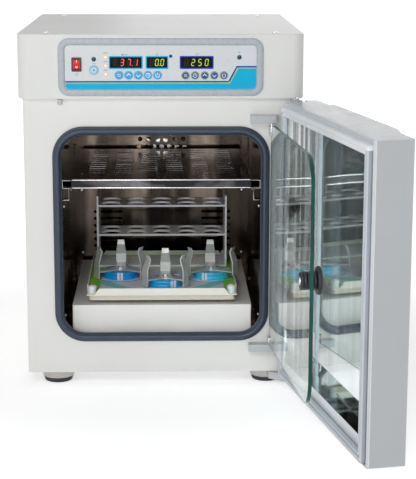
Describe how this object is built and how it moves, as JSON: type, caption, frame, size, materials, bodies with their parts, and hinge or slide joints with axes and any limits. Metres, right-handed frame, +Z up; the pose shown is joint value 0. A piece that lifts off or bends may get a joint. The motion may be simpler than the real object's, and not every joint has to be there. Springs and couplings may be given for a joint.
{
  "type": "incubated benchtop shaker",
  "caption": "Benchtop incubated shaker with a steel cabinet, hinged insulated door, inner glass door, heated steel chamber, shelf and an orbiting platform with flask clamps and a tube rack.",
  "frame": {"origin": "Middle of the cabinet at the level of the bench that the feet stand on", "axes": "X to the right seen from the front, Y to the back, Z up"},
  "size_m": [0.5183, 0.8949, 0.5346],
  "materials": {
    "white_paint": "smooth",
    "cream_paint": "smooth",
    "stainless": "polished",
    "steel": "satin",
    "chrome": "polished",
    "aluminium": "machined",
    "dark_metal": "satin",
    "grey_plastic": "satin",
    "dark_plastic": "gloss",
    "red_plastic": "gloss",
    "fascia_film": "gloss",
    "lamp_plastic": "gloss",
    "light_blue_key": "gloss",
    "dark_blue_key": "gloss",
    "board": "matte",
    "foam": "matte",
    "gasket_rubber": "matte",
    "seal_rubber": "satin",
    "mat_rubber": "matte",
    "white_plastic": "gloss",
    "blue_plastic": "gloss",
    "clear_plastic": "gloss",
    "glass": "clear"
  },
  "bodies": {
    "cabinet": {"outer_cabinet": "white_paint", "bottom_plate": "steel", "rear_panel": "white_paint", "hood_cover": "white_paint", "case_screws": "steel", "fascia_bezel": "grey_plastic", "fascia_panel": "fascia_film", "display_windows": "dark_plastic", "indicator_lamps": "lamp_plastic", "power_switch_frame": "dark_plastic", "control_board": "board", "chamber_liner": "stainless", "insulation": "foam", "chamber_gasket": "gasket_rubber", "air_duct_panel": "stainless", "fan_motor": "dark_metal", "heater_ring": "dark_metal", "temperature_probe": "stainless", "shelf_rails": "stainless", "shelf": "stainless", "drive_cover": "white_paint", "drive_base": "steel", "bearing_housings": "aluminium", "drive_motor": "dark_metal", "foot_cups": "chrome", "foot_pads": "gasket_rubber", "power_inlet": "dark_plastic", "door_sensor": "grey_plastic", "door_hinge_plates": "white_paint", "glass_hinge_brackets": "grey_plastic"},
    "outer_door": {"door_skin": "white_paint", "door_core": "foam", "door_liner": "stainless", "door_seal": "seal_rubber"},
    "glass_door": {"glass_hinge_pins": "chrome", "glass_panel": "glass", "glass_fittings": "dark_metal"},
    "main_crank": {"drive_crank": "steel"},
    "platform": {"carriage_plate": "aluminium", "platform_tray": "cream_paint", "platform_mat": "mat_rubber", "thumb_knobs": "white_plastic", "clamp_bases": "blue_plastic", "clamp_fingers": "steel", "tube_rack": "clear_plastic"},
    "left_crank": {"idler_crank_left": "steel"},
    "right_crank": {"idler_crank_right": "steel"},
    "fan": {"fan_rotor": "aluminium"},
    "rocker": {"power_rocker": "red_plastic"},
    "start_key": {"start_key": "light_blue_key"},
    "heat_key_1": {"heat_key_1": "light_blue_key"},
    "heat_key_2": {"heat_key_2": "light_blue_key"},
    "heat_key_3": {"heat_key_3": "light_blue_key"},
    "heat_key_4": {"heat_key_4": "light_blue_key"},
    "heat_key_5": {"heat_key_5": "light_blue_key"},
    "shake_key_1": {"shake_key_1": "dark_blue_key"},
    "shake_key_2": {"shake_key_2": "dark_blue_key"},
    "shake_key_3": {"shake_key_3": "dark_blue_key"},
    "shake_key_4": {"shake_key_4": "dark_blue_key"},
    "shake_key_5": {"shake_key_5": "dark_blue_key"}
  },
  "joints": [
    {"name": "outer_door_hinge", "type": "hinge", "parent": "cabinet", "child": "outer_door", "pos_m": [0.1985, -0.2568, 0.2], "axis": [0, 0, 1], "range_deg": [-101, 15]},
    {"name": "glass_door_hinge", "type": "hinge", "parent": "cabinet", "child": "glass_door", "pos_m": [0.1633, -0.2423, 0.2], "axis": [0, 0, 1], "range_deg": [-95.4, 14.2]},
    {"name": "drive_crank_turn", "type": "hinge", "parent": "cabinet", "child": "main_crank", "pos_m": [0, -0.0635, 0.1], "axis": [0, 0, 1], "continuous": true},
    {"name": "platform_on_crank", "type": "hinge", "parent": "main_crank", "child": "platform", "pos_m": [0, -0.073, 0.13], "axis": [0, 0, 1], "continuous": true},
    {"name": "left_idler_turn", "type": "hinge", "parent": "cabinet", "child": "left_crank", "pos_m": [-0.08, 0.0085, 0.1], "axis": [0, 0, 1], "continuous": true},
    {"name": "right_idler_turn", "type": "hinge", "parent": "cabinet", "child": "right_crank", "pos_m": [0.08, 0.0085, 0.1], "axis": [0, 0, 1], "continuous": true},
    {"name": "fan_turn", "type": "hinge", "parent": "cabinet", "child": "fan", "pos_m": [0, 0.15, 0.315], "axis": [0, 1, 0], "continuous": true},
    {"name": "power_rocker_tilt", "type": "hinge", "parent": "cabinet", "child": "rocker", "pos_m": [-0.1228, -0.238, 0.48915], "axis": [1, 0, 0], "range_deg": [0, 16]},
    {"name": "start_key_press", "type": "slide", "parent": "cabinet", "child": "start_key", "axis": [0, 1, 0], "range_m": [0, 0.0005], "stiffness_N_per_m": 400},
    {"name": "heat_key_1_press", "type": "slide", "parent": "cabinet", "child": "heat_key_1", "axis": [0, 1, 0], "range_m": [0, 0.0005], "stiffness_N_per_m": 400},
    {"name": "heat_key_2_press", "type": "slide", "parent": "cabinet", "child": "heat_key_2", "axis": [0, 1, 0], "range_m": [0, 0.0005], "stiffness_N_per_m": 400},
    {"name": "heat_key_3_press", "type": "slide", "parent": "cabinet", "child": "heat_key_3", "axis": [0, 1, 0], "range_m": [0, 0.0005], "stiffness_N_per_m": 400},
    {"name": "heat_key_4_press", "type": "slide", "parent": "cabinet", "child": "heat_key_4", "axis": [0, 1, 0], "range_m": [0, 0.0005], "stiffness_N_per_m": 400},
    {"name": "heat_key_5_press", "type": "slide", "parent": "cabinet", "child": "heat_key_5", "axis": [0, 1, 0], "range_m": [0, 0.0005], "stiffness_N_per_m": 400},
    {"name": "shake_key_1_press", "type": "slide", "parent": "cabinet", "child": "shake_key_1", "axis": [0, 1, 0], "range_m": [0, 0.0005], "stiffness_N_per_m": 400},
    {"name": "shake_key_2_press", "type": "slide", "parent": "cabinet", "child": "shake_key_2", "axis": [0, 1, 0], "range_m": [0, 0.0005], "stiffness_N_per_m": 400},
    {"name": "shake_key_3_press", "type": "slide", "parent": "cabinet", "child": "shake_key_3", "axis": [0, 1, 0], "range_m": [0, 0.0005], "stiffness_N_per_m": 400},
    {"name": "shake_key_4_press", "type": "slide", "parent": "cabinet", "child": "shake_key_4", "axis": [0, 1, 0], "range_m": [0, 0.0005], "stiffness_N_per_m": 400},
    {"name": "shake_key_5_press", "type": "slide", "parent": "cabinet", "child": "shake_key_5", "axis": [0, 1, 0], "range_m": [0, 0.0005], "stiffness_N_per_m": 400}
  ],
  "couplings": [
    {"joint": "glass_door_hinge", "follows": "outer_door_hinge", "ratio": 0.944},
    {"joint": "platform_on_crank", "follows": "drive_crank_turn", "ratio": -1},
    {"joint": "left_idler_turn", "follows": "drive_crank_turn", "ratio": 1},
    {"joint": "right_idler_turn", "follows": "drive_crank_turn", "ratio": 1}
  ]
}
